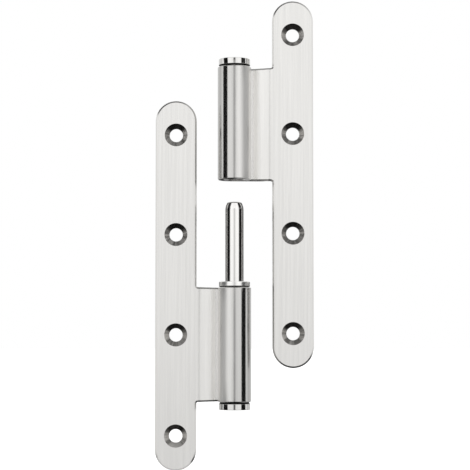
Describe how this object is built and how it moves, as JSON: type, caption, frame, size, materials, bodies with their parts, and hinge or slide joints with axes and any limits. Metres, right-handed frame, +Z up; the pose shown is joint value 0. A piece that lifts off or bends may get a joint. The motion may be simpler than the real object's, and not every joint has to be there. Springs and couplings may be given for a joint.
{
  "type": "lift-off hinge",
  "caption": "Stainless lift-off hinge with round-ended countersunk leaves; the upper leaf's capped rolled socket drops over the lower leaf's pin and bearing ring.",
  "frame": {"origin": "on the pin's axis, midway between the two halves as they stand lifted apart", "axes": "+Z up along the pin, +Y from the countersunk faces to the backs of the leaves, +X to the upper, socket leaf"},
  "size_m": [0.06, 0.0126, 0.1784],
  "materials": {
    "satin_stainless": "satin, brushed along the leaf",
    "polished_stainless": "polished"
  },
  "bodies": {
    "socket_half": {"socket_leaf": "satin_stainless", "top_cap": "polished_stainless"},
    "ring": {"bearing_ring": "polished_stainless"},
    "pin_half": {"pin_leaf": "satin_stainless", "hinge_pin": "polished_stainless", "bottom_cap": "polished_stainless"}
  },
  "joints": [
    {"name": "lift_off", "type": "slide", "parent": "socket_half", "child": "ring", "axis": [0, 0, 1], "range_m": [0, 0.0385]},
    {"name": "leaf_turn", "type": "hinge", "parent": "ring", "child": "pin_half", "pos_m": [0, 0, -0.01925], "axis": [0, 0, 1], "range_deg": [-90, 180]}
  ]
}
